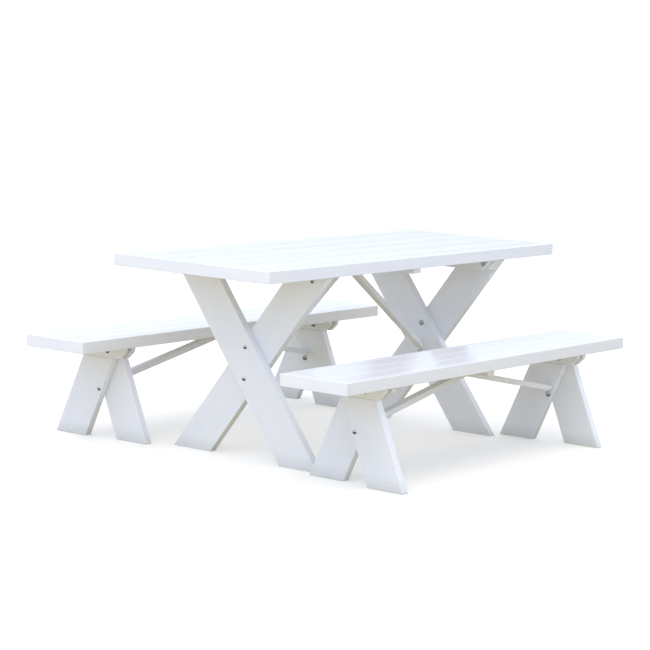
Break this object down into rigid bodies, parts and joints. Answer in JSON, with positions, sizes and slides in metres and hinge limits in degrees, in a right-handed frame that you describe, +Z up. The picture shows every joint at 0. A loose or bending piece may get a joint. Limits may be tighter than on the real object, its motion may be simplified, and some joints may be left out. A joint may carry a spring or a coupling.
{
  "type": "picnic table and benches",
  "caption": "Rigid white-painted timber picnic table on crossed, braced legs, with two loose matching benches on splayed legs that slide under it.",
  "frame": {"origin": "on the ground, midway between the two benches, 38 mm behind the middle of the table", "axes": "+X along the table, +Y from the front bench towards the back bench, +Z up"},
  "size_m": [1.83, 1.6238, 0.74],
  "materials": {
    "white_gloss_timber": "white gloss enamel brushed on planed softwood",
    "zinc_plated_steel": "bright zinc plate, slightly dulled"
  },
  "bodies": {
    "table": {"table_bolt_left_lower": "zinc_plated_steel", "table_bolt_left_upper": "zinc_plated_steel", "table_bolt_right_lower": "zinc_plated_steel", "table_bolt_right_upper": "zinc_plated_steel", "table_brace_left": "white_gloss_timber", "table_brace_right": "white_gloss_timber", "table_centre_cleat": "white_gloss_timber", "table_cleat_left": "white_gloss_timber", "table_cleat_right": "white_gloss_timber", "table_end_rail_left": "white_gloss_timber", "table_end_rail_right": "white_gloss_timber", "table_leg_left_inner": "white_gloss_timber", "table_leg_left_outer": "white_gloss_timber", "table_leg_right_inner": "white_gloss_timber", "table_leg_right_outer": "white_gloss_timber", "table_packer_left": "white_gloss_timber", "table_packer_right": "white_gloss_timber", "table_side_rail_back": "white_gloss_timber", "table_side_rail_front": "white_gloss_timber", "table_top_board_1": "white_gloss_timber", "table_top_board_2": "white_gloss_timber", "table_top_board_3": "white_gloss_timber", "table_top_board_4": "white_gloss_timber", "table_top_board_5": "white_gloss_timber"},
    "front_bench": {"front_bench_brace_left": "white_gloss_timber", "front_bench_brace_right": "white_gloss_timber", "front_bench_centre_cleat": "white_gloss_timber", "front_bench_cleat_left_inner": "white_gloss_timber", "front_bench_cleat_left_outer": "white_gloss_timber", "front_bench_cleat_right_inner": "white_gloss_timber", "front_bench_cleat_right_outer": "white_gloss_timber", "front_bench_end_rail_left": "white_gloss_timber", "front_bench_end_rail_right": "white_gloss_timber", "front_bench_leg_left_inner": "white_gloss_timber", "front_bench_leg_left_outer": "white_gloss_timber", "front_bench_leg_right_inner": "white_gloss_timber", "front_bench_leg_right_outer": "white_gloss_timber", "front_bench_seat_board_1": "white_gloss_timber", "front_bench_seat_board_2": "white_gloss_timber", "front_bench_seat_board_3": "white_gloss_timber", "front_bench_side_rail_back": "white_gloss_timber", "front_bench_side_rail_front": "white_gloss_timber"},
    "back_bench": {"back_bench_brace_left": "white_gloss_timber", "back_bench_brace_right": "white_gloss_timber", "back_bench_centre_cleat": "white_gloss_timber", "back_bench_cleat_left_inner": "white_gloss_timber", "back_bench_cleat_left_outer": "white_gloss_timber", "back_bench_cleat_right_inner": "white_gloss_timber", "back_bench_cleat_right_outer": "white_gloss_timber", "back_bench_end_rail_left": "white_gloss_timber", "back_bench_end_rail_right": "white_gloss_timber", "back_bench_leg_left_inner": "white_gloss_timber", "back_bench_leg_left_outer": "white_gloss_timber", "back_bench_leg_right_inner": "white_gloss_timber", "back_bench_leg_right_outer": "white_gloss_timber", "back_bench_seat_board_1": "white_gloss_timber", "back_bench_seat_board_2": "white_gloss_timber", "back_bench_seat_board_3": "white_gloss_timber", "back_bench_side_rail_back": "white_gloss_timber", "back_bench_side_rail_front": "white_gloss_timber"}
  },
  "joints": [
    {"name": "front_bench_slide", "type": "slide", "parent": "table", "child": "front_bench", "axis": [0, 1, 0], "range_m": [-0.4, 0.28]},
    {"name": "back_bench_slide", "type": "slide", "parent": "table", "child": "back_bench", "axis": [0, -1, 0], "range_m": [-0.4, 0.355]}
  ]
}
